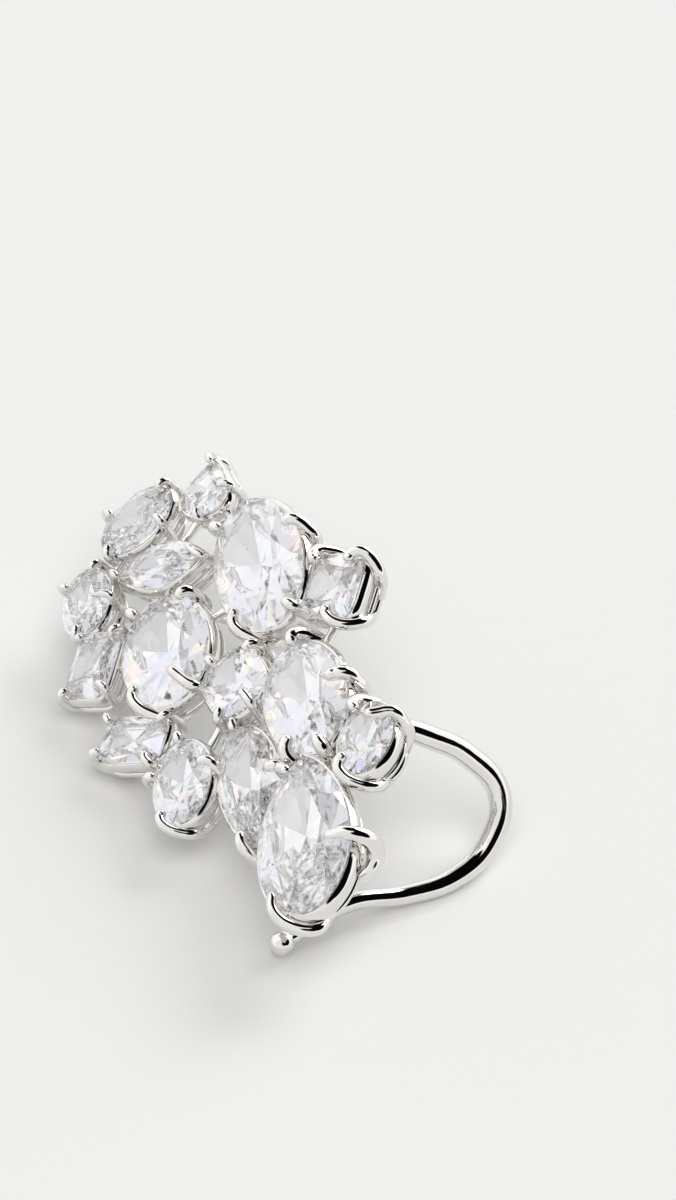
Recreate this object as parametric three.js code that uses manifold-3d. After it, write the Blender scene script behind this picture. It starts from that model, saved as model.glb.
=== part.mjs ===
// Ear climber: fifteen clear stones of mixed cuts, each in an open claw basket of round wire. The baskets
// are soldered edge to edge in one leaning, gently tapered cluster. A thick wire hook that goes round the
// ear and a straight post that goes through the lobe stand out behind it. Millimetres, +Z up.
//
// The cluster is drawn in its own face frame first: u runs along its length to the hook end, v runs across
// it, and w stands out of the stones' tables. The whole is then laid down on the hook, the post and the
// low edge, as it rests by itself, and set with the middle of its box on the origin.

import * as THREE from "three";
import { ConvexGeometry } from "three/addons/geometries/ConvexGeometry.js";
import { mergeVertices } from "three/addons/utils/BufferGeometryUtils.js";
import Module from "manifold-3d";

const wasm = await Module();
wasm.setup();

// ---------------------------------------------------------------- driving dimensions

const SEAT_R = 0.42; // round wire of the rail under a stone's edge
const BASE_R = 0.34; // round wire of the rail at a basket's base
const CLAW_R = 0.45; // round wire of the claws
const LINK_R = 0.36; // solder links between the baskets
const HOOK_R = 0.82; // round wire of the ear hook
const BALL_R = 0.93; // ball on the hook's free end
const POST_R = 0.38; // ear post
const STONE_GAP = 0.06; // clearance all round a stone

const GIRDLE = 0.16; // thickness of a stone's edge
const TABLE_SCALE = 0.58; // table to outline
const CROWN_RATIO = 0.145; // crown height to stone width
const PAVILION_RATIO = 0.42; // pavilion depth to stone width
const CULET_SCALE = 0.06;

const SEAT_DROP = 0.62; // seat rail below the girdle
const SEAT_OUT = 0.06; // seat rail outside the girdle
const BASE_SCALE = 0.72; // base rail to outline
const BASE_DROP = 2.9; // base rail below the girdle
const CLAW_OUT = 0.52; // claw outside the girdle
const CLAW_IN = 0.45; // how far a claw's tip reaches in over the crown
const LINK_DROP = 0.95; // links below the girdle

const REST_LEAN = 35.3; // degrees that the face leans from level, about its length
const REST_DIP = 1.2; // degrees that the hook end dips

// ---------------------------------------------------------------- stones

// power: the outline's exponent, where 2 is an ellipse and more is squarer; point: how sharply the outline
// narrows to its one tip, with the fullness that keeps its width
const CUTS = {
  oval: { power: 2 },
  cushion: { power: 2.7 },
  radiant: { power: 5 },
  drop: { point: 0.35, fullness: 1.114 },
  pear: { point: 1, fullness: 1.299 },
  marquise: { tips: 2 },
};

// turn: the long axis, or the pear's point, from u toward v; lean: the stone's own roll about u;
// claws: where the claws stand round the outline, in degrees from the long axis
const COLUMNS = ["name", "cut", "length", "width", "u", "v", "lift", "turn", "lean", "claws"];
const STONES = [
  ["stone_top_pear", "pear", 4.9, 4.3, -18.7, 5.8, 0, 136, 4, [0, 95, 180, 278]],
  ["stone_top_oval", "oval", 6.6, 4.6, -21, -0.2, 0, 90, 0, [20, 117, 212, 298]],
  ["stone_top_marquise", "marquise", 7.6, 3.8, -15.5, -0.4, 0, 58, 0, [0, 180]],
  ["stone_edge_oval_upper", "oval", 5.8, 4.2, -17.8, -6.7, 0, -28, 0, [-14, 72, 149, 238]],
  ["stone_edge_emerald", "radiant", 5.4, 3.9, -12.3, -8.7, -0.2, -45, 0, [40, 140, 220, 320]],
  ["stone_centre_oval", "oval", 9.8, 7.5, -7.9, -3.2, 0.3, -13, 0, [10, 134, 207, 282]],
  ["stone_edge_baguette", "radiant", 5.7, 3.7, -3.6, -8.8, -0.3, 46, 0, [40, 140, 220, 320]],
  ["stone_edge_oval_lower", "oval", 6.9, 4.9, 3.2, -7.1, 0, -25, 0, [-27, 82, 175, 261]],
  ["stone_large_oval", "oval", 12, 7.8, -8.3, 6.1, 0.4, -8, 7, [21, 100, 209, 308]],
  ["stone_square", "radiant", 5.1, 4.8, -1.85, 9.75, 0, 38, 9, [45, 135, 225, 315]],
  ["stone_middle_round", "cushion", 5.5, 5, -1, 0, 0, 0, 0, [10, 86, 160, 267]],
  ["stone_lower_oval", "oval", 10, 6.7, 5.1, 3.9, 0.3, -10, 0, [8, 84, 139, 325]],
  ["stone_hook_oval", "oval", 5.8, 4.3, 11.7, 6, 0, -37, -6, [35, 118, 212, 325]],
  ["stone_lower_pear", "pear", 11.2, 4.9, 7.3, -3.2, -0.8, -14, -4, [0, 90, 180]],
  ["stone_end_drop", "drop", 13, 7.3, 15.4, -1.2, 0.5, 156, -3, [30, 145, 253]],
].map((row) => Object.fromEntries(COLUMNS.map((column, index) => [column, row[index]])));

// pairs of baskets that are soldered to each other
const LINKS = [
  ["stone_top_pear", "stone_top_oval"],
  ["stone_top_pear", "stone_large_oval"],
  ["stone_top_oval", "stone_top_marquise"],
  ["stone_top_oval", "stone_edge_oval_upper"],
  ["stone_top_marquise", "stone_top_pear"],
  ["stone_top_marquise", "stone_centre_oval"],
  ["stone_edge_oval_upper", "stone_edge_emerald"],
  ["stone_edge_emerald", "stone_centre_oval"],
  ["stone_centre_oval", "stone_edge_baguette"],
  ["stone_centre_oval", "stone_large_oval"],
  ["stone_centre_oval", "stone_middle_round"],
  ["stone_edge_baguette", "stone_edge_oval_lower"],
  ["stone_large_oval", "stone_square"],
  ["stone_large_oval", "stone_middle_round"],
  ["stone_middle_round", "stone_lower_oval"],
  ["stone_middle_round", "stone_lower_pear"],
  ["stone_square", "stone_lower_oval"],
  ["stone_edge_oval_lower", "stone_lower_pear"],
  ["stone_edge_oval_lower", "stone_middle_round"],
  ["stone_lower_oval", "stone_lower_pear"],
  ["stone_lower_oval", "stone_hook_oval"],
  ["stone_hook_oval", "stone_end_drop"],
  ["stone_lower_pear", "stone_end_drop"],
];

// the hook's middle line, from the base of the hook-end oval's basket to the ball
const HOOK_LINE = [
  { u: 9.7, v: 7.4, w: -2.6 },
  { u: 10.4, v: 8.6, w: -5.1 },
  { u: 11.3, v: 9.7, w: -8.6 },
  { u: 13, v: 9.4, w: -12 },
  { u: 14.7, v: 6.8, w: -13.2 },
  { u: 16.1, v: 3.4, w: -12.2 },
  { u: 16.7, v: 0.4, w: -10.3 },
  { u: 16.6, v: -2.9, w: -7 },
  { u: 17.7, v: -7.7, w: -4.1 },
];

// the post's two ends: its foot is soldered where two base rails meet
const POST_FOOT = { u: -13.6, v: -1.2, w: -2.9 };
const POST_TIP = { u: -11.8, v: 3.7, w: -13.9 };

const CLEAR = { color: 0xf2f4f7, roughness: 0.02, metalness: 0 };
const POLISHED = { color: 0xd6d7d9, roughness: 0.08, metalness: 1 };

const OUTLINE_STEPS = 12;
const BASE_STEPS = 8;
const RAIL_SIDES = 4;
const CLAW_SIDES = 4;
const CLAW_STEPS = 4;
const HOOK_SIDES = 8;
const HOOK_STEPS = 24;

const radians = THREE.MathUtils.degToRad;
const point = ({ u, v, w }) => new THREE.Vector3(u, v, w);

/** The point of a stone's outline at an angle round it, as a Vector2 with the long axis along x. */
function outline(stone, angle) {
  const { power, point, fullness, tips } = CUTS[stone.cut];
  const along = Math.cos(angle);
  const across = Math.sin(angle);
  const half = new THREE.Vector2(stone.length / 2, stone.width / 2);
  if (point) {
    const narrowing = fullness * Math.abs(Math.sin(angle / 2)) ** point;
    return new THREE.Vector2(along, narrowing * across).multiply(half);
  }
  if (tips) {
    return new THREE.Vector2(along, across * Math.abs(across)).multiply(half);
  }
  const bend = (value) => Math.sign(value) * Math.abs(value) ** (2 / power);
  return new THREE.Vector2(bend(along), bend(across)).multiply(half);
}

/** The outward normal of the outline at an angle round it. */
function outward(stone, angle) {
  const step = 0.02;
  const chord = outline(stone, angle + step).sub(outline(stone, angle - step));
  return new THREE.Vector2(chord.y, -chord.x).normalize();
}

/** A place beside the outline: scaled, then moved out along the normal, at a height from the girdle. */
function beside(stone, angle, scale, out, height) {
  const place = outline(stone, angle).multiplyScalar(scale).addScaledVector(outward(stone, angle), out);
  return new THREE.Vector3(place.x, place.y, height);
}

/** A stone's own frame in the face frame. */
function stoneFrame(stone) {
  const frame = new THREE.Object3D();
  frame.position.set(stone.u, stone.v, stone.lift);
  frame.rotation.set(radians(stone.lean), 0, radians(stone.turn), "XYZ");
  frame.updateMatrix();
  return frame;
}

/** The faceted stone, grown on all sides by a clearance. */
function stoneGeometry(stone, grow = 0) {
  const crown = stone.width * CROWN_RATIO;
  const pavilion = stone.width * PAVILION_RATIO;
  const rings = [
    { scale: TABLE_SCALE, height: GIRDLE / 2 + crown + grow },
    { scale: 0.79, height: GIRDLE / 2 + 0.6 * crown + grow },
    { scale: 1, height: GIRDLE / 2 + grow },
    { scale: 1, height: -GIRDLE / 2 - grow },
    { scale: 0.56, height: -GIRDLE / 2 - 0.55 * pavilion - grow },
    { scale: CULET_SCALE, height: -GIRDLE / 2 - pavilion - grow },
  ];
  const points = rings.flatMap(({ scale, height }) =>
    Array.from({ length: OUTLINE_STEPS }, (_, step) =>
      beside(stone, (2 * Math.PI * step) / OUTLINE_STEPS, scale, grow, height)));
  return skin(new ConvexGeometry(points));
}

// ---------------------------------------------------------------- solids for joining

/** A closed geometry with its doubled vertices merged, so that it can be bent or turned as one skin. */
function skin(geometry) {
  geometry.deleteAttribute("normal");
  geometry.deleteAttribute("uv");
  return mergeVertices(geometry, 1e-4);
}

/** A merged skin as a solid of the boolean library. */
function solid(merged) {
  const corners = merged.index.array;
  const faces = [];
  for (let start = 0; start < corners.length; start += 3) {
    const [a, b, c] = corners.subarray(start, start + 3);
    if (a !== b && b !== c && c !== a) faces.push(a, b, c);
  }
  const mesh = new wasm.Mesh({
    numProp: 3,
    vertProperties: new Float32Array(merged.attributes.position.array),
    triVerts: new Uint32Array(faces),
  });
  return new wasm.Manifold(mesh);
}

/** A solid of the boolean library as a geometry. */
function geometryOf(body) {
  const mesh = body.getMesh();
  const geometry = new THREE.BufferGeometry();
  geometry.setAttribute("position", new THREE.BufferAttribute(mesh.vertProperties, 3));
  geometry.setIndex(new THREE.BufferAttribute(mesh.triVerts, 1));
  geometry.computeVertexNormals();
  return geometry;
}

/** A round bar along a smooth line through the points. */
function bar(points, radius, steps, sides) {
  const section = new THREE.Shape(
    Array.from({ length: sides }, (_, side) => {
      const angle = (2 * Math.PI * side) / sides;
      return new THREE.Vector2(radius * Math.cos(angle), radius * Math.sin(angle));
    }));
  const path = points.length > 2
    ? new THREE.CatmullRomCurve3(points, false, "centripetal")
    : new THREE.LineCurve3(...points);
  return skin(new THREE.ExtrudeGeometry(section, { extrudePath: path, steps, curveSegments: 1 }));
}

/** A rail round the stone: a ring bent onto the outline. */
function rail(stone, radius, scale, out, height, steps) {
  const ring = skin(new THREE.TorusGeometry(1, radius, RAIL_SIDES, steps));
  const places = ring.attributes.position;
  for (let index = 0; index < places.count; index += 1) {
    const [x, y, z] = [places.getX(index), places.getY(index), places.getZ(index)];
    const place = beside(stone, Math.atan2(y, x), scale, out + Math.hypot(x, y) - 1, height + z);
    places.setXYZ(index, place.x, place.y, place.z);
  }
  return ring;
}

/** A claw: up from the base rail, out past the girdle, and in over the crown. */
function claw(stone, degrees) {
  const angle = radians(degrees);
  const top = GIRDLE / 2 + 0.83 * CLAW_IN + 1.35 * (CLAW_R + STONE_GAP);
  return bar([
    beside(stone, angle, BASE_SCALE, 0, -BASE_DROP),
    beside(stone, angle, 1, CLAW_OUT - 0.1, -1.3),
    beside(stone, angle, 1, CLAW_OUT, 0),
    beside(stone, angle, 1, 0.75 * CLAW_OUT, 0.55 * top),
    beside(stone, angle, 1, -CLAW_IN, top),
  ], CLAW_R, CLAW_STEPS, CLAW_SIDES);
}

/** A stone's basket, in the face frame. */
function basket(stone) {
  const { matrix } = stoneFrame(stone);
  return [
    rail(stone, SEAT_R, 1, SEAT_OUT, -SEAT_DROP, OUTLINE_STEPS),
    rail(stone, BASE_R, BASE_SCALE, 0, -BASE_DROP, BASE_STEPS),
    ...stone.claws.map((degrees) => claw(stone, degrees)),
  ].map((geometry) => geometry.applyMatrix4(matrix));
}

/** Where the ray from one stone's middle toward another leaves its outline, in the face frame. */
function edgeToward(stone, other, height) {
  const frame = stoneFrame(stone);
  const toward = new THREE.Vector2(other.u - stone.u, other.v - stone.v).rotateAround(
    new THREE.Vector2(), -radians(stone.turn)).normalize();
  let best = null;
  for (let degrees = 0; degrees < 360; degrees += 2) {
    const place = outline(stone, radians(degrees));
    const facing = place.clone().normalize().dot(toward);
    if (!best || facing > best.facing) best = { facing, place };
  }
  return new THREE.Vector3(best.place.x, best.place.y, height).applyMatrix4(frame.matrix);
}

/** A short bar that solders one basket's seat rail to its neighbour's. */
function link([from, to]) {
  const [a, b] = [from, to].map((name) => STONES.find((stone) => stone.name === name));
  return bar([edgeToward(a, b, -LINK_DROP), edgeToward(b, a, -LINK_DROP)], LINK_R, 1, RAIL_SIDES);
}

/** The ear hook with its ball. */
function hook() {
  const line = HOOK_LINE.map(point);
  const ball = skin(new THREE.SphereGeometry(BALL_R, 10, 8)).translate(...line.at(-1).toArray());
  return [bar(line, HOOK_R, HOOK_STEPS, HOOK_SIDES), ball];
}

/** The ear post: a turned pin with a grip groove near its rounded tip, and its solder foot. */
function post() {
  const foot = point(POST_FOOT);
  const axis = point(POST_TIP).sub(foot);
  const length = axis.length();
  const profile = [
    [0, 0],
    [0.85, 0],
    [0.85, 0.5],
    [POST_R, 1.1],
    [POST_R, length - 2],
    [0.8 * POST_R, length - 1.85],
    [0.8 * POST_R, length - 1.6],
    [POST_R, length - 1.45],
    [POST_R, length - 0.3],
    [0.75 * POST_R, length],
    [0, length],
  ].map(([x, y]) => new THREE.Vector2(x, y));
  const pin = skin(new THREE.LatheGeometry(profile, 8));
  const turn = new THREE.Quaternion().setFromUnitVectors(new THREE.Vector3(0, 1, 0), axis.normalize());
  return pin.applyQuaternion(turn).translate(foot.x, foot.y, foot.z);
}

/** All the metal as one body, with a seat cut for every stone. */
function setting() {
  const pieces = [...STONES.flatMap(basket), ...LINKS.map(link), ...hook(), post()];
  const metal = wasm.Manifold.union(pieces.map(solid));
  const seats = wasm.Manifold.union(
    STONES.map((stone) => solid(stoneGeometry(stone, STONE_GAP).applyMatrix4(stoneFrame(stone).matrix))));
  // the largest shell is the outer skin: a pocket that crossing wires close off is filled with solder
  const shells = metal.subtract(seats).decompose().sort((a, b) => b.volume() - a.volume());
  return geometryOf(shells[0]);
}

// ---------------------------------------------------------------- assembly

function named(name, geometry, finish) {
  const mesh = new THREE.Mesh(geometry, new THREE.MeshStandardMaterial(finish));
  mesh.name = name;
  return mesh;
}

const cluster = new THREE.Group();
cluster.rotation.set(radians(REST_LEAN), radians(REST_DIP), 0, "XYZ");
cluster.add(named("setting", setting(), POLISHED));
for (const stone of STONES) {
  const mesh = named(stone.name, stoneGeometry(stone), CLEAR);
  const frame = stoneFrame(stone);
  mesh.position.copy(frame.position);
  mesh.rotation.copy(frame.rotation);
  cluster.add(mesh);
}

const climber = new THREE.Group();
climber.add(cluster);
climber.updateMatrixWorld(true);
const box = new THREE.Box3().setFromObject(climber, true);
const middle = box.getCenter(new THREE.Vector3());
climber.position.set(-middle.x, -middle.y, -box.min.z);

export default climber;
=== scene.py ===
# %% [markdown]
# # Ear climber
# A cluster of fifteen clear stones, each held in its own open basket of round wire. A thick hook
# goes round the ear and a straight post goes through the lobe.
#
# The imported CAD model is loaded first, as a fixed frame. Its nodes stay where they are, so each
# finished piece can be drawn straight into its place.

# %% Load the frame
import math

import bpy
from mathutils import Matrix, Vector


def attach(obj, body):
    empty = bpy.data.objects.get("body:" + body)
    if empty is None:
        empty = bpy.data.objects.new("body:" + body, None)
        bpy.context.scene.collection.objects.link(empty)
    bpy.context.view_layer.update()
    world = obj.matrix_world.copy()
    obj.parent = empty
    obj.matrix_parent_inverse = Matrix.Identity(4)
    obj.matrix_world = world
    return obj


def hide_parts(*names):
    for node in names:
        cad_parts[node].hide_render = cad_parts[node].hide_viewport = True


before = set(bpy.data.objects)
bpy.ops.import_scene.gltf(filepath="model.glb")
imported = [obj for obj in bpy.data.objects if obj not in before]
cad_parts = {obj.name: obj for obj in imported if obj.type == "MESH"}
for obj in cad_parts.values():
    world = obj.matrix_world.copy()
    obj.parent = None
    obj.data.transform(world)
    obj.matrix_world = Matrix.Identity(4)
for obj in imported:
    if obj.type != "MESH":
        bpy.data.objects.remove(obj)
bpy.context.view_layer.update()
print("CAD nodes:", len(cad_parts))

# %% [markdown]
# ## A drawing board on the face of the cluster
# The cluster lies at a lean, which makes it awkward to draw. A jeweller would lay it face up on
# the bench. So everything is drawn in millimetres on the face: u along its length to the hook
# end, v across it and w out of the stones' tables. One matrix then lays a piece down in its
# place, in metres.
#
# The turn of the face is known. Its origin is read off one stone of the frame, whose middle is
# known too.

# %% The face's matrix
MM = 0.001
GIRDLE = 0.16  # thickness of a stone's edge
CROWN_RATIO = 0.145  # crown height to stone width
PAVILION_RATIO = 0.42  # pavilion depth to stone width
KNOWN_STONE = {"node": "stone_centre_oval", "width": 7.5, "at": Vector((-7.9, -3.2, 0.3))}
FACE_LEAN = 35.3  # degrees by which the face leans back
FACE_TILT = 1.2  # degrees by which its hook end hangs lower

face_turn = (
    Matrix.Rotation(math.radians(FACE_LEAN), 3, "X")
    @ Matrix.Rotation(math.radians(FACE_TILT), 3, "Y"))


def face_box(node):
    """The lowest and highest corners of a CAD node along the face's own axes, in millimetres."""
    places = [face_turn.transposed() @ v.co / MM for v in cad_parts[node].data.vertices]
    return [Vector(pick(p[i] for p in places) for i in range(3)) for pick in (min, max)]


low, high = face_box(KNOWN_STONE["node"])
above_middle = KNOWN_STONE["width"] * (CROWN_RATIO - PAVILION_RATIO) / 2
stone_middle = KNOWN_STONE["at"] + Vector((0, 0, above_middle))
face_origin = face_turn @ ((low + high) / 2 - stone_middle)
face_matrix = Matrix.Scale(MM, 4) @ Matrix.Translation(face_origin) @ face_turn.to_4x4()
print("face origin, mm:", [round(x, 3) for x in face_origin])

# %% [markdown]
# ## Camera
# A long lens from a third of a metre away shows small jewellery with little distortion. The
# camera looks down on the leaning face from the side of the hook end.

# %% Camera
CAMERA_AZIMUTH = math.radians(69.53)
CAMERA_ELEVATION = math.radians(39.37)
CAMERA_ROLL = math.radians(-1.32)
CAMERA_TARGET = Vector((-1.21, 9.4, -0.74))  # on the face
CAMERA_DISTANCE, SENSOR_HEIGHT, LENS = 350, 36, 147  # millimetres

bpy.ops.object.select_all(action="DESELECT")
bpy.ops.object.camera_add()
camera = bpy.context.object
toward_camera = Vector((
    math.cos(CAMERA_ELEVATION) * math.sin(CAMERA_AZIMUTH),
    -math.cos(CAMERA_ELEVATION) * math.cos(CAMERA_AZIMUTH),
    math.sin(CAMERA_ELEVATION)))
camera.matrix_world = (
    Matrix.Translation(face_matrix @ CAMERA_TARGET + toward_camera * CAMERA_DISTANCE * MM)
    @ toward_camera.to_track_quat("Z", "Y").to_matrix().to_4x4()
    @ Matrix.Rotation(CAMERA_ROLL, 4, "Z"))
camera.data.sensor_fit = "VERTICAL"
camera.data.sensor_height = SENSOR_HEIGHT
camera.data.lens = LENS
camera.data.clip_start = 10 * MM
bpy.context.scene.camera = camera
print("camera at", [round(x, 3) for x in camera.location])

# %% [markdown]
# ## Colours and nodes
# Colours are written as hex values, as on screen, and one function turns them to the linear
# values that the renderer works with. A second small function adds a node with its settings and
# its links.

# %% Two helpers for materials


def colour(code):
    """An sRGB hex value such as "#E4E5E7" as linear red, green, blue and alpha."""
    shares = [int(code[i:i + 2], 16) / 255 for i in (1, 3, 5)]
    return [s / 12.92 if s <= 0.04045 else ((s + 0.055) / 1.055) ** 2.4 for s in shares] + [1]


def add(tree, kind, inputs=None, **settings):
    """Adds a node. An input given as another node's output is linked, and any other is set."""
    node = tree.nodes.new(kind)
    for name, value in settings.items():
        setattr(node, name, value)
    for name, value in (inputs or {}).items():
        if isinstance(value, bpy.types.NodeSocket):
            tree.links.new(value, node.inputs[name])
        else:
            node.inputs[name].default_value = value
    return node


def new_material(name):
    """An empty material: its node tree and its output node."""
    material = bpy.data.materials.new(name)
    material.use_nodes = True
    material.node_tree.nodes.clear()
    return material, material.node_tree, material.node_tree.nodes.new("ShaderNodeOutputMaterial")


print("a mid grey in linear light:", round(colour("#808080")[0], 3))

# %% [markdown]
# ## Studio
# Polished metal and cut stones show nothing but their surroundings. A pale tent on all sides
# makes them white, and dark gaps in it draw the crisp black lines that give round wire its form.
# The tent is drawn by direction in the world: a base colour, and round patches laid over it one
# by one.
#
# The same tent can't serve all three surfaces, so each kind of ray has its own list of patches.
# Metal needs black gaps. A stone bends light many times and would turn black all over, so what
# is seen through it has soft grey, cream and blue patches. The floor gets a broad light from
# high in front and a weak window at the back, so that one soft shadow falls under the cluster
# and behind it.

# %% The tent's colours and patches
TENT = {"pale": "#F7F7F6", "low": "#EDEDEC", "through": "#D8D9DC", "floor": "#737372"}
TENT_STRENGTH = 1.32
TENT_RISE = (-0.1, 0.8)  # the heights between which the low colour turns to the pale one
FIRE = 3.5  # degrees by which a stone parts red from green, and green from blue
# Each patch has its direction in degrees, round and up, how many degrees out from its middle it
# starts to fade and ends, and its colour.
SEEN = [
    {"round": 55, "up": 18, "full": 35, "end": 60, "code": "#DCDCDB"},
    {"round": 127, "up": 38, "full": 28, "end": 31, "code": "#060607"},
    {"round": 96, "up": 37, "full": 19, "end": 23, "code": "#060607"},
    {"round": -168, "up": 75, "full": 25, "end": 28, "code": "#060607"},
    {"round": -97, "up": 64, "full": 13, "end": 16, "code": "#060607"},
    {"round": -158, "up": 17, "full": 9, "end": 14, "code": "#FFFFFF", "strength": 1.6},
    {"round": -158, "up": 42, "full": 14, "end": 18, "code": "#FFFFFF", "strength": 4.2},
]
SEEN_THROUGH_A_STONE = [
    {"round": 129, "up": 38, "full": 24, "end": 26, "code": "#BFC0C5", "fire": -1},
    {"round": -165, "up": 74, "full": 21, "end": 23, "code": "#BFC0C5"},
    {"round": -95, "up": 62, "full": 12, "end": 14, "code": "#BFC0C5", "fire": -1},
    {"round": -155, "up": 20, "full": 15, "end": 19, "code": "#F4F4F4", "strength": 1.1},
    {"round": 35, "up": 50, "full": 12, "end": 17, "code": "#F2EEDF"},
    {"round": -50, "up": 42, "full": 13, "end": 17, "code": "#D0D4E2", "fire": -1},
]
SEEN_BY_THE_FLOOR = [
    {"round": 80, "up": 60, "full": 6, "end": 30, "code": "#FFFFFF", "strength": 3.0},
    {"round": -158, "up": 46, "full": 12, "end": 24, "code": "#FFFFFF", "strength": 0.5},
]
print("patches:", len(SEEN), len(SEEN_THROUGH_A_STONE), len(SEEN_BY_THE_FLOOR))

# %% [markdown]
# ## World
# The direction that a ray goes in is compared with the middle of each patch: their dot product
# is the cosine of the angle between them, and it is mapped to a soft-edged disc. Seen through a
# stone, red, green and blue get discs of slightly different widths, so the patch has a thin
# rainbow at its edge.

# %% World
INSIDE = 0.5  # a ray that has gone into a stone has a transmission depth of one or more

world = bpy.data.worlds.new("light_tent")
bpy.context.scene.world = world
world.use_nodes = True
tree = world.node_tree
tree.nodes.clear()
way = add(tree, "ShaderNodeTexCoord").outputs["Generated"]
height = add(tree, "ShaderNodeSeparateXYZ", {"Vector": way}).outputs["Z"]
rise = add(tree, "ShaderNodeMapRange", {
    "Value": height, "From Min": TENT_RISE[0], "From Max": TENT_RISE[1]})
tent = add(tree, "ShaderNodeMix", {
    "Factor": rise.outputs["Result"], "A": colour(TENT["low"]), "B": colour(TENT["pale"])},
    data_type="RGBA").outputs["Result"]


def with_patch(below, patch, fire=0):
    """The tent's colour with one more round patch, whose edge is parted by colour."""
    apart = fire * patch.get("fire", 1)
    azimuth, elevation = (math.radians(patch[name]) for name in ("round", "up"))
    middle = Vector((
        math.cos(elevation) * math.sin(azimuth), -math.cos(elevation) * math.cos(azimuth),
        math.sin(elevation)))
    nearness = add(tree, "ShaderNodeVectorMath", {0: way, 1: middle}, operation="DOT_PRODUCT")
    edges = {
        socket: [math.cos(math.radians(patch[width] + more)) for more in (apart, 0, -apart)]
        for socket, width in (("From Min", "end"), ("From Max", "full"))}
    inside = add(tree, "ShaderNodeMapRange", {"Vector": nearness.outputs["Value"], **edges},
                 data_type="FLOAT_VECTOR")
    light = [share * patch.get("strength", 1) for share in colour(patch["code"])[:3]]
    return add(tree, "ShaderNodeMix", {"Factor": inside.outputs["Vector"], "A": below, "B": light},
               data_type="VECTOR", factor_mode="NON_UNIFORM").outputs["Result"]


through, on_floor = (
    add(tree, "ShaderNodeCombineXYZ", dict(zip("XYZ", colour(TENT[name])))).outputs["Vector"]
    for name in ("through", "floor"))
for patch in SEEN:
    tent = with_patch(tent, patch)
for patch in SEEN_THROUGH_A_STONE:
    through = with_patch(through, patch, FIRE)
for patch in SEEN_BY_THE_FLOOR:
    on_floor = with_patch(on_floor, patch)
ray = add(tree, "ShaderNodeLightPath").outputs
in_a_stone = add(tree, "ShaderNodeMath", {
    0: ray["Transmission Depth"], 1: INSIDE}, operation="GREATER_THAN")
for factor, other in (
        (in_a_stone.outputs["Value"], through), (ray["Is Diffuse Ray"], on_floor)):
    tent = add(tree, "ShaderNodeMix", {
        "Factor": factor, "A": tent, "B": other}, data_type="RGBA").outputs["Result"]
add(tree, "ShaderNodeOutputWorld", {"Surface": add(tree, "ShaderNodeBackground", {
    "Color": tent, "Strength": TENT_STRENGTH}).outputs["Background"]})
print("world's nodes:", len(tree.nodes))

# %% [markdown]
# ## Floor
# A matt pale sheet of card lies under the piece. Real stones gather light on it, which would
# take very long to render, so the sheet looks lighter through a stone: there it partly shines by
# itself.

# %% Floor and light bounces
SHEET_SIZE = 3  # metres
GATHERED_SHARE = 0.7  # how much of the sheet's look in a stone is light that the stones gather

bpy.ops.object.select_all(action="DESELECT")
bpy.ops.mesh.primitive_plane_add(size=SHEET_SIZE)
sheet = bpy.context.object
sheet.name = "floor_sheet"
paper, tree, output = new_material("matt_card")
surface = add(tree, "ShaderNodeBsdfPrincipled", {
    "Base Color": colour("#F1F1F0"), "Roughness": 0.9, "Specular IOR Level": 0.2})
gathered = add(tree, "ShaderNodeEmission", {"Color": colour("#D6D7DA")})
seen_in_a_stone = add(tree, "ShaderNodeMath", {
    0: add(tree, "ShaderNodeLightPath").outputs["Transmission Depth"], 1: INSIDE},
    operation="GREATER_THAN")
share = add(tree, "ShaderNodeMath", {
    0: seen_in_a_stone.outputs["Value"], 1: GATHERED_SHARE}, operation="MULTIPLY")
sheet_light = add(tree, "ShaderNodeMixShader", {
    0: share.outputs["Value"], 1: surface.outputs["BSDF"], 2: gathered.outputs["Emission"]})
tree.links.new(sheet_light.outputs["Shader"], output.inputs["Surface"])
sheet.data.materials.append(paper)

# light goes back and forth many times in a stone, and from wire to wire, before it comes out
scene = bpy.context.scene
scene.view_settings.view_transform = "Standard"
scene.cycles.glossy_bounces = 16
scene.cycles.transmission_bounces = 20
scene.cycles.max_bounces = 28
print("floor", tuple(round(x, 2) for x in sheet.dimensions))

# %% [markdown]
# ## Cubic zirconia
# The stones are clear lab-grown cubic zirconia. It bends light far more than window glass, so a
# glass shader with the stone's own refractive index gives it its life. It also bends blue more
# than red, which gives the flecks of colour. Tracing each colour by itself is slow and grainy,
# so the studio's patches have edges that are parted by colour where they are seen through a
# stone. Polishing leaves a faint haze.

# %% Material of the stones
ZIRCONIA_IOR = 2.165
ZIRCONIA_HAZE = 0.03

zirconia, tree, output = new_material("cubic_zirconia")
surface = add(tree, "ShaderNodeBsdfGlass", {
    "Color": colour("#FFFFFF"), "Roughness": ZIRCONIA_HAZE, "IOR": ZIRCONIA_IOR})
tree.links.new(surface.outputs["BSDF"], output.inputs["Surface"])
print("zirconia's refractive index:", ZIRCONIA_IOR)

# %% [markdown]
# ## Rhodium plate
# The metal is brass that was polished and then plated with rhodium, a hard white metal. It
# mirrors like chrome but is a little warmer. Polishing by hand leaves long soft waves and a
# faint haze, so the roughness and the surface vary slightly over a millimetre or two.

# %% Material of the setting
WAVE = 1.0 * MM  # from one soft polishing wave to the next
WAVE_DEPTH = 0.05 * MM
HAZE = 0.5 * MM  # from one hazy spot to the next
HAZE_ROUGHNESS = (0.03, 0.1)  # at the clearest and at the haziest

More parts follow.
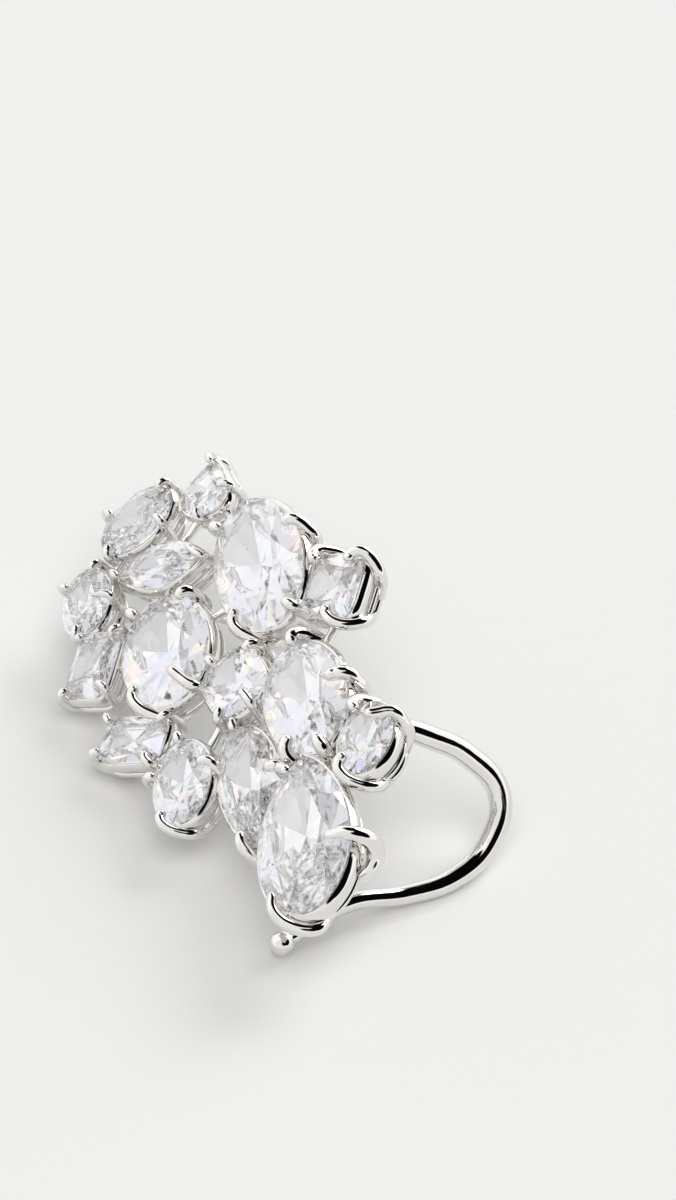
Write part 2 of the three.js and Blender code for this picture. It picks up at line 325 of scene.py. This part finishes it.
rhodium, tree, output = new_material("rhodium_plate")
place = add(tree, "ShaderNodeTexCoord").outputs["Object"]
waves = add(tree, "ShaderNodeTexNoise", {"Vector": place, "Scale": 1 / WAVE, "Detail": 1.0})
haze = add(tree, "ShaderNodeTexNoise", {"Vector": place, "Scale": 1 / HAZE, "Detail": 3.0})
roughness = add(tree, "ShaderNodeMapRange", {
    "Value": haze.outputs["Fac"], "To Min": HAZE_ROUGHNESS[0], "To Max": HAZE_ROUGHNESS[1]})
bump = add(tree, "ShaderNodeBump", {
    "Strength": 0.28, "Distance": WAVE_DEPTH, "Height": waves.outputs["Fac"]})
surface = add(tree, "ShaderNodeBsdfPrincipled", {
    "Base Color": colour("#E8E6E3"), "Metallic": 1.0,
    "Roughness": roughness.outputs["Result"], "Normal": bump.outputs["Normal"]})
tree.links.new(surface.outputs["BSDF"], output.inputs["Surface"])
print("polishing waves, mm:", WAVE / MM)

# %% [markdown]
# ## The list of stones
# Each stone has its cut, its length and width, its place on the face, how high it sits, how its
# long axis is turned and how it leans. Then come the radii of its seat wire and its claw wire,
# and its claws: each has the angle round the stone of its tip and of its foot, and how far its
# tip reaches in over the crown. Where the two angles differ, the claw leans to one side.

# %% Stones
CUTS = {
    "oval": {"power": 2},
    "cushion": {"power": 2.7},
    "radiant": {"power": 5},
    "drop": {"point": 0.35, "fullness": 1.114},
    "pear": {"point": 1, "fullness": 1.299},
    "marquise": {"tips": 2},
}
COLUMNS = (
    "node", "cut", "length", "width", "u", "v", "lift", "turn", "lean",
    "seat_r", "claw_r", "claws")
STONES = [dict(zip(COLUMNS, row)) for row in [
    ("top_pear", "pear", 4.6, 4.3, -18.56, 5.66, 0, 136, 4, 0.27, 0.33, (
        (8, 0, 0.3), (182, 190, 0.2), (268, 262, 0.2))),
    ("top_oval", "oval", 6.6, 4.6, -21, -0.2, 0, 90, 0, 0.27, 0.35, (
        (20, 12, 0.15), (116, 125, 0.15), (206, 212, 0.2), (300, 292, 0.2))),
    ("top_marquise", "marquise", 7.6, 3.8, -15.5, -0.4, 0, 58, 0, 0.27, 0.36, (
        (-18, 0, 0.8), (178, 180, 0.15))),
    ("edge_oval_upper", "oval", 5.8, 4.2, -17.8, -6.7, 0, -28, 0, 0.27, 0.34, (
        (-12, -14, 0.3), (84, 76, 0.7), (158, 149, 0.15), (236, 238, 0.15))),
    ("edge_emerald", "radiant", 5.4, 3.9, -12.3, -8.7, -0.2, -45, 0, 0.27, 0.35, (
        (66, 48, 0.2), (160, 140, 0.15), (236, 220, 0.15), (326, 320, 0.15))),
    ("centre_oval", "oval", 9.8, 7.5, -7.9, -3.2, 0.3, -13, 0, 0.31, 0.47, (
        (22, 31, 1.3), (136, 125, 0.15), (207, 207, 0.2), (303, 345, 0.3))),
    ("edge_baguette", "radiant", 5.7, 3.7, -3.6, -8.8, -0.3, 46, 0, 0.29, 0.38, (
        (40, 40, 0.2), (140, 140, 0.2), (200, 205, 0.15), (296, 322, 0.2))),
    ("edge_oval_lower", "oval", 6.9, 4.9, 3.2, -7.1, 0, -25, 0, 0.3, 0.41, (
        (100, 84, 0.25), (178, 186, 0.15), (254, 254, 0.15), (322, 368, 0.2))),
    ("large_oval", "oval", 12, 7.8, -8.3, 6.1, 0.4, -8, 7, 0.32, 0.48, (
        (20, 20, 0.15), (98, 86, 0.15), (209, 209, 0.2), (303, 332, 0.4))),
    ("square", "radiant", 5.1, 4.8, -1.85, 9.75, 0, 38, 9, 0.31, 0.48, (
        (72, 14, 0.35), (138, 100, 0.35), (220, 220, 0.4), (274, 331, 0.35))),
    ("middle_round", "cushion", 5.5, 5, -1, 0, 0, 0, 0, 0.29, 0.41, (
        (4, 0, 0.5), (112, 98, 0.2), (190, 190, 0.2), (310, 306, 0.15))),
    ("lower_oval", "oval", 10, 6.7, 5.1, 3.9, 0.3, -10, 0, 0.32, 0.55, (
        (4, 0, 0.3), (83, 77, 0.55), (168, 150, 0.2), (316, 334, 0.35))),
    ("hook_oval", "oval", 5.8, 4.3, 11.7, 6, 0, -37, -6, 0.34, 0.48, (
        (122, 108, 1.1), (214, 184, 0.3), (322, 376, 0.4))),
    ("lower_pear", "drop", 11.2, 4.9, 7.3, -3.2, -0.8, -14, -4, 0.3, 0.49, (
        (92, 84, 0.3), (180, 180, 0.3), (320, 354, 0.1))),
    ("end_drop", "drop", 13, 7.3, 15.4, -1.2, 0.5, 156, -3, 0.37, 0.46, (
        (30, 30, 0.6),)),
]]
print("stones:", len(STONES))

# %% [markdown]
# ## Outlines
# Seen from above, an oval is an ellipse, a cushion and a radiant are squarer, and pears, drops
# and marquises narrow to one tip or two. One function gives the point of the outline at an angle
# round the stone, and another the direction straight out from it.

# %% Outline of a stone


def outline(stone, angle):
    """The outline's point at an angle round it, with the long axis along x."""
    cut = CUTS[stone["cut"]]
    along, across = math.cos(angle), math.sin(angle)
    if "point" in cut:
        across *= cut["fullness"] * abs(math.sin(angle / 2)) ** cut["point"]
    elif "tips" in cut:
        across *= abs(across)
    else:
        along, across = (math.copysign(abs(x) ** (2 / cut["power"]), x) for x in (along, across))
    return Vector((along * stone["length"] / 2, across * stone["width"] / 2, 0))


def outward(stone, angle, nearby=0.02):
    """The direction straight out of the outline at an angle round it."""
    chord = outline(stone, angle + nearby) - outline(stone, angle - nearby)
    return Vector((chord.y, -chord.x, 0)).normalized()


def beside(stone, angle, scale=1.0, out=0.0, height=0.0):
    """A place beside the outline: scaled, then moved straight out, at a height from the girdle."""
    return outline(stone, angle) * scale + outward(stone, angle) * out + Vector((0, 0, height))


def stone_matrix(stone):
    """From the stone's own place to the face."""
    return (
        Matrix.Translation((stone["u"], stone["v"], stone["lift"]))
        @ Matrix.Rotation(math.radians(stone["lean"]), 4, "X")
        @ Matrix.Rotation(math.radians(stone["turn"]), 4, "Z"))


print("the last stone's narrow end:", outline(STONES[-1], 0).to_tuple(2))

# %% [markdown]
# ## Cutting a stone
# A cutter starts from a rough block, grinds its edge to the outline and then grinds one flat
# facet after another. Blender's bisect does the same: it cuts off all that lies beyond a plane
# and fills the cut. So every facet is one bisect, and the facets meet as cleanly as on a real
# stone.
#
# A brilliant has a flat table on top with eight star facets, eight kite-shaped mains and sixteen
# upper halves round it. Below the girdle are sixteen lower halves and eight mains that meet in a
# point.

# %% Grinding one facet
TABLE = 0.58  # table to outline
CULET = 0.03  # blunt point to outline
MAINS = 8
STAR_DROP = 0.5  # how far down the crown a star facet reaches
UPPER_CORNER = 0.55  # where the upper halves start, from the table down to the girdle
LOWER_CORNER = 0.4  # where the lower halves start, from the point up to the girdle
HALVES_AT = (0.27, 0.73)  # where two halves meet the girdle, between one main and the next


def grind(at, facing):
    """Cuts off what lies beyond a plane of the block in edit mode, and closes the cut."""
    bpy.ops.mesh.select_all(action="SELECT")
    bpy.ops.mesh.bisect(plane_co=at, plane_no=facing, use_fill=True, clear_outer=True)


def grind_through(a, b, c, outside):
    """Grinds the facet through three points; outside is a point on the side that goes."""
    facing = (b - a).cross(c - a).normalized()
    grind(a, facing if facing.dot(outside - a) > 0 else -facing)


def main_plane(stone, angle, scale, girdle, far):
    """The point and normal of a main facet, from the girdle's edge to a smaller outline."""
    edge = beside(stone, angle, height=girdle)
    along = outward(stone, angle).cross(Vector((0, 0, 1)))
    down = beside(stone, angle, scale, height=far) - edge
    facing = along.cross(down).normalized()
    return edge, facing if facing.dot(outward(stone, angle)) > 0 else -facing


def where_mains_meet(first, second, height):
    """The point at one height on the edge between two main facets."""
    rows = Matrix((first[1], second[1], (0, 0, 1)))
    return rows.inverted() @ Vector((first[0].dot(first[1]), second[0].dot(second[1]), height))


def grind_half(stone, angle, corner, girdle):
    """Grinds a half facet, from the girdle's edge at an angle to a corner between two mains."""
    edge = beside(stone, angle, height=girdle)
    along = outward(stone, angle).cross(Vector((0, 0, 1)))
    grind_through(edge, edge + along, corner, edge + outward(stone, angle))


print("facets round the crown:", MAINS * (2 + len(HALVES_AT)))

# %% [markdown]
# ## The whole stone
# Both sides of a brilliant are cut alike: the mains first, then a pair of halves over each edge
# between two mains. The crown also gets its stars and its table. The rough block is a little
# larger than the stone.

# %% Fifteen stones
EDGE_FACETS = 32
ROUGH = 1.2  # rough block to finished stone
MERGE = 0.002  # points that are nearer than this, in millimetres, are made one


def grind_side(stone, girdle, far, scale, corner_share):
    """Grinds the mains and halves of the crown or the pavilion. It returns the mains."""
    step = 2 * math.pi / MAINS
    angles = [step * index for index in range(MAINS)]
    mains = [main_plane(stone, angle, scale, girdle, far) for angle in angles]
    for at, facing in mains:
        grind(at, facing)
    corner_height = far + (girdle - far) * corner_share
    for index, angle in enumerate(angles):
        corner = where_mains_meet(mains[index], mains[(index + 1) % MAINS], corner_height)
        for share in HALVES_AT:
            grind_half(stone, angle + step * share, corner, girdle)
    return mains


def cut_brilliant(stone):
    """Grinds the crown and the pavilion of a brilliant."""
    crown = GIRDLE / 2 + stone["width"] * CROWN_RATIO
    depth = GIRDLE / 2 + stone["width"] * PAVILION_RATIO
    mains = grind_side(stone, GIRDLE / 2, crown, TABLE, UPPER_CORNER)
    step = 2 * math.pi / MAINS
    top = Vector((0, 0, crown))
    for index in range(MAINS):
        low = where_mains_meet(
            mains[index], mains[(index + 1) % MAINS],
            crown - STAR_DROP * (crown - GIRDLE / 2))
        ends = [beside(stone, step * (index + more), TABLE, height=crown) for more in (0, 1)]
        grind_through(ends[0], ends[1], low, low + Vector((0, 0, 1)))
    grind(top, Vector((0, 0, 1)))
    grind_side(stone, -GIRDLE / 2, -depth, CULET, LOWER_CORNER)


def cut_stone(stone):
    """One finished stone, still at the origin of its own place, in millimetres."""
    bpy.ops.object.select_all(action="DESELECT")
    bpy.ops.mesh.primitive_cube_add(size=1)
    gem = bpy.context.object
    bpy.ops.object.mode_set(mode="EDIT")
    bpy.ops.transform.resize(value=(
        stone["length"] * ROUGH, stone["width"] * ROUGH, stone["width"] * ROUGH))
    for index in range(EDGE_FACETS):
        angle = 2 * math.pi * index / EDGE_FACETS
        grind(beside(stone, angle), outward(stone, angle))
    cut_brilliant(stone)
    bpy.ops.mesh.select_all(action="SELECT")
    bpy.ops.mesh.remove_doubles(threshold=MERGE)
    bpy.ops.mesh.normals_make_consistent(inside=False)
    bpy.ops.object.mode_set(mode="OBJECT")
    return gem


def lay_down(piece, matrix, name, material):
    """Lays a piece drawn in millimetres in its place, with its object at the origin."""
    bpy.ops.object.select_all(action="DESELECT")
    piece.select_set(True)
    bpy.context.view_layer.objects.active = piece
    piece.matrix_world = face_matrix @ matrix
    bpy.ops.object.transform_apply(location=True, rotation=True, scale=True)
    piece.name = name
    piece.data.materials.clear()
    piece.data.materials.append(material)
    return piece


for stone in STONES:
    gem = lay_down(cut_stone(stone), stone_matrix(stone), "gem_" + stone["node"], zirconia)
    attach(gem, "root")
    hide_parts("stone_" + stone["node"])
    print(gem.name, "facets:", len(gem.data.polygons))

# %% [markdown]
# ## Round wire
# All of the setting is bent and soldered from round wire. A curve with a round bevel is such a
# wire: its points are the bends, and the radius at a point thins it. It is made a mesh once it
# has its shape.

# %% Wire
WIRE_ROUNDNESS = 5
DOME = ((0.5, 0.87), (0.8, 0.6), (0.95, 0.3), (1, 0.02))  # how far past the end, and how thick


def wire(points, radius, closed=False, shares=None, steps=4, round_end=False):
    """A round wire through the points. shares thins it, and round_end domes its last end."""
    shares = list(shares or [1] * len(points))
    points = [Vector(point) for point in points]
    if round_end:
        ahead = (points[-1] - points[-2]).normalized() * radius * shares[-1]
        last, share = points[-1], shares[-1]
        for past, thickness in DOME:
            points.append(last + ahead * past)
            shares.append(share * thickness)
    bpy.ops.object.select_all(action="DESELECT")
    bpy.ops.curve.primitive_bezier_curve_add()
    line = bpy.context.object.data
    line.splines[0].bezier_points.add(len(points) - 2)
    for knot, place, share in zip(line.splines[0].bezier_points, points, shares):
        knot.co, knot.radius = place, share
        knot.handle_left_type = knot.handle_right_type = "AUTO"
    line.splines[0].use_cyclic_u = closed
    line.resolution_u = steps
    line.bevel_depth = radius
    line.bevel_resolution = WIRE_ROUNDNESS
    line.use_fill_caps = not closed
    bpy.ops.object.convert(target="MESH")
    made = bpy.context.object
    bpy.ops.object.mode_set(mode="EDIT")
    bpy.ops.mesh.select_all(action="SELECT")
    bpy.ops.mesh.remove_doubles(threshold=MERGE)
    bpy.ops.mesh.normals_make_consistent(inside=False)
    bpy.ops.object.mode_set(mode="OBJECT")
    return made


def move(piece, matrix):
    """Moves a piece's mesh by a matrix."""
    piece.data.transform(matrix)
    return piece


print("points in a wire's domed end:", len(DOME))

# %% [markdown]
# ## Baskets
# A stone sits on a seat just under its edge, a wire that is drawn out in height. A gallery rail
# runs halfway down, and a smaller base rail closes the basket. Claws rise from the base rail,
# pass outside the stone's edge and bend in over the crown, where their rounded tips hold it.

# %% Fifteen baskets
RAIL_POINTS = 32
SEAT_TALL, SEAT_OUT, SEAT_BELOW = 1.95, 0.06, 0.06  # an upright oval wire, just outside the girdle
GALLERY_R, GALLERY_SCALE, GALLERY_DROP = 0.27, 0.98, 1.8
BASE_R, BASE_SCALE, BASE_DROP = 0.34, 0.72, 2.9
CLAW_OUT = 0.08  # gap between a claw and the stone's edge
TIP_GAP = 0.02  # gap between a claw's tip and the crown
TIP_SHARE = 0.88  # a claw thins towards its tip
CLAW_SHARES = [1, 1, 1, 1, 0.95, 0.9, TIP_SHARE]


def rail(stone, radius, scale, out, height, tall=1):
    """A closed ring of wire that follows the stone's outline. tall draws it out in height."""
    angles = [2 * math.pi * index / RAIL_POINTS for index in range(RAIL_POINTS)]
    ring = wire([beside(stone, a, scale, out) for a in angles], radius, closed=True, steps=2)
    bpy.ops.object.mode_set(mode="EDIT")
    bpy.ops.mesh.select_all(action="SELECT")
    bpy.ops.transform.resize(value=(1, 1, tall))
    bpy.ops.transform.translate(value=(0, 0, height))
    bpy.ops.object.mode_set(mode="OBJECT")
    return ring


def claw(stone, tip, foot, reach):
    """A claw, from its foot on the base rail to its tip on the crown."""
    radius = stone["claw_r"]
    out = CLAW_OUT + radius
    crown_run = (1 - TABLE) * outline(stone, math.radians(tip)).length
    slope = stone["width"] * CROWN_RATIO / crown_run
    above_crown = GIRDLE / 2 + radius * TIP_SHARE * math.hypot(1, slope) + TIP_GAP

    def bend(share, scale, outward_by, height):
        """A bend of the claw, at a share of the way round from its foot to its tip."""
        return beside(stone, math.radians(foot + (tip - foot) * share), scale, outward_by, height)

    return wire([
        bend(-0.2, BASE_SCALE, 0, -BASE_DROP),  # on the base rail
        bend(0, 1, out - CLAW_OUT, -1.4),
        bend(0.4, 1, out, -0.4),
        bend(0.75, 1, 0.8 * out, 0.35),  # past the stone's edge
        bend(0.95, 1, 0.1, above_crown + 0.08),
        bend(1, 1, -reach / 2, above_crown + slope * reach / 2 + 0.05),
        bend(1, 1, -reach, above_crown + slope * reach),  # on the crown
    ], radius, shares=CLAW_SHARES, round_end=True)


metal = []
for stone in STONES:
    seat_r = stone["seat_r"]
    parts = [
        rail(stone, seat_r, 1, SEAT_OUT, -SEAT_BELOW - SEAT_TALL * seat_r, SEAT_TALL),
        rail(stone, GALLERY_R, GALLERY_SCALE, 0, -GALLERY_DROP),
        rail(stone, BASE_R, BASE_SCALE, 0, -BASE_DROP)]
    parts += [claw(stone, *spec) for spec in stone["claws"]]
    metal += [move(part, stone_matrix(stone)) for part in parts]
print("wires in the baskets:", len(metal))

# %% [markdown]
# ## Two big claws
# The stone at the hook end has two claws that are larger than the rest. One stands out beside
# the stone in a wide loop and bends in over it. The other one wraps round the stone's blunt end.
# Each bend is given by its angle round the stone, how far out from the edge it lies and how
# high.

# %% Claws of the stone at the hook end
LOOP = [
    (236, 0, -2), (243, 0.7, -2.2), (250, 1.1, -1.8), (253, 1.3, -0.9), (253, 1, 0.3),
    (253, 0.2, 1), (253, -0.85, 1.15)]
WRAP = [
    (187, -0.1, -1.9), (181, 0.55, -1.5), (173, 0.75, -0.95), (164, 0.75, -0.35), (156, 0.6, 0.2),
    (149, 0.25, 0.65), (143, -0.35, 0.85)]
LOOP_R, LOOP_SHARES = 0.68, [0.7, 0.9, 1, 1, 0.9, 0.8, 0.58]
WRAP_R, WRAP_SHARES = 0.5, [0.9, 1, 1, 1, 0.95, 0.85, 0.7]
BIG_CLAW_STEPS = 6  # pieces from one bend to the next

drop = STONES[-1]
for path, radius, shares in ((LOOP, LOOP_R, LOOP_SHARES), (WRAP, WRAP_R, WRAP_SHARES)):
    bends = [beside(drop, math.radians(degrees), 1, out, height) for degrees, out, height in path]
    big_claw = wire(bends, radius, shares=shares, steps=BIG_CLAW_STEPS, round_end=True)
    metal.append(move(big_claw, stone_matrix(drop)))
print("bends in a big claw:", len(LOOP))

# %% [markdown]
# ## Solder links
# Where two baskets stand side by side, a short link is soldered between their seat rails. The
# baskets are found by name, and a link runs from edge to edge.

# %% Links between the baskets
LINK_R, LINK_DROP = 0.36, 0.95
LINK_SHARES = [1.15, 0.95, 1.15]  # solder swells both ends
SEARCH_STEP = 2  # degrees
LINKS = """
top_pear top_oval, top_pear large_oval, top_oval top_marquise, top_oval edge_oval_upper,
top_marquise top_pear, top_marquise centre_oval, edge_oval_upper edge_emerald,
edge_emerald centre_oval, centre_oval edge_baguette, centre_oval large_oval,
centre_oval middle_round, edge_baguette edge_oval_lower, large_oval square,
large_oval middle_round, middle_round lower_oval, middle_round lower_pear,
square lower_oval, edge_oval_lower lower_pear, edge_oval_lower middle_round,
lower_oval lower_pear, lower_oval hook_oval, hook_oval end_drop, lower_pear end_drop
"""
by_name = {stone["node"]: stone for stone in STONES}


def edge_toward(stone, other):
    """Where the line from one stone's middle to another's leaves its outline, on the face."""
    toward = Vector((other["u"] - stone["u"], other["v"] - stone["v"], 0)).normalized()
    toward = Matrix.Rotation(-math.radians(stone["turn"]), 3, "Z") @ toward
    angles = [math.radians(degrees) for degrees in range(0, 360, SEARCH_STEP)]
    best = max(angles, key=lambda angle: outline(stone, angle).normalized().dot(toward))
    return stone_matrix(stone) @ beside(stone, best, height=-LINK_DROP)


for pair in LINKS.replace("\n", " ").split(","):
    a, b = (by_name[name] for name in pair.split())
    ends = [edge_toward(a, b), edge_toward(b, a)]
    middle = ends[0].lerp(ends[1], 0.5)
    metal.append(wire([ends[0], middle, ends[1]], LINK_R, shares=LINK_SHARES))
print("wires with the links:", len(metal))

# %% [markdown]
# ## Hook
# The hook is the thickest wire. It leaves the basket of hook_oval, goes back and round behind the
# ear, and comes forward again under the last stone to a ball, which keeps its end from
# scratching.

# %% Hook and ball
HOOK_R = 0.82
HOOK_SHARES = [0.95, 1.06, 1.06, 1.04, 1, 0.94, 0.86, 0.8, 0.68]  # it thins towards the ball
BALL_R = 0.9
HOOK_STEPS = 12
HOOK_LINE = [
    (9.7, 7.4, -2.6), (10.4, 8.6, -5.1), (11.3, 9.7, -8.6), (13, 9.4, -12), (14.7, 6.8, -13.2),
    (16.1, 3.4, -12.2), (16.4, 0.4, -10), (16.35, -2.9, -6.75), (17.7, -7.7, -4.1)]
metal.append(wire(HOOK_LINE, HOOK_R, shares=HOOK_SHARES, steps=HOOK_STEPS))

bpy.ops.object.select_all(action="DESELECT")
bpy.ops.mesh.primitive_uv_sphere_add(
    radius=BALL_R, segments=32, ring_count=20, location=HOOK_LINE[-1])
ball = bpy.context.object
bpy.ops.object.transform_apply(location=True, rotation=True, scale=True)
metal.append(ball)
print("hook's vertices:", len(metal[-2].data.vertices))

# %% [markdown]
# ## Post
# The post goes through the pierced lobe. It is a turned pin: a disc that is soldered to the
# baskets, a short taper, a straight shaft, a groove that the clutch clicks into, and a rounded
# tip. A disc of vertices is extruded upward step by step and scaled at each, which is how such a
# turned form is drawn by hand.

# %% Post
POST_R = 0.38
DISC_R = 0.85
GROOVE_R = 0.8 * POST_R
POST_SIDES = 24
POST_FOOT = Vector((-13.6, -1.2, -2.9))
POST_TIP = Vector((-11.8, 3.7, -13.9))
post_axis = POST_TIP - POST_FOOT
LENGTH = post_axis.length
PROFILE = [  # radius and height, from the disc up to the tip
    (DISC_R, 0.5), (0.6, 0.75), (0.45, 0.95), (POST_R, 1.15), (POST_R, LENGTH - 2),
    (GROOVE_R, LENGTH - 1.85), (GROOVE_R, LENGTH - 1.6), (POST_R, LENGTH - 1.45),
    (POST_R, LENGTH - 0.3), (0.93 * POST_R, LENGTH - 0.12), (0.75 * POST_R, LENGTH)]

bpy.ops.object.select_all(action="DESELECT")
bpy.ops.mesh.primitive_circle_add(vertices=POST_SIDES, radius=DISC_R, fill_type="NGON")
post = bpy.context.object
bpy.ops.object.mode_set(mode="EDIT")
bpy.ops.mesh.select_all(action="SELECT")
radius, height = DISC_R, 0.0
for next_radius, next_height in PROFILE:
    bpy.ops.mesh.extrude_region_move(
        TRANSFORM_OT_translate={"value": (0, 0, next_height - height)})
    bpy.ops.transform.resize(value=(next_radius / radius, next_radius / radius, 1))
    radius, height = next_radius, next_height
bpy.ops.mesh.select_all(action="SELECT")
bpy.ops.mesh.normals_make_consistent(inside=False)
bpy.ops.object.mode_set(mode="OBJECT")
turn = post_axis.to_track_quat("Z", "Y").to_matrix().to_4x4()
metal.append(move(post, Matrix.Translation(POST_FOOT) @ turn))
print("post's length, mm:", round(LENGTH, 2))

# %% [markdown]
# ## One soldered setting
# All the wires are joined, as the solder joins them, and shaded smooth except where they meet at
# an angle.

# %% Join the metal
SMOOTH_UP_TO = 40  # degrees

bpy.ops.object.select_all(action="DESELECT")
for part in metal:
    part.select_set(True)
bpy.context.view_layer.objects.active = metal[0]
bpy.ops.object.join()
setting = bpy.context.object
bpy.ops.object.shade_smooth_by_angle(angle=math.radians(SMOOTH_UP_TO))
setting = lay_down(setting, Matrix.Identity(4), "soldered_setting", rhodium)
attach(setting, "root")
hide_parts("setting")
print("setting's triangles:", sum(len(face.vertices) - 2 for face in setting.data.polygons))
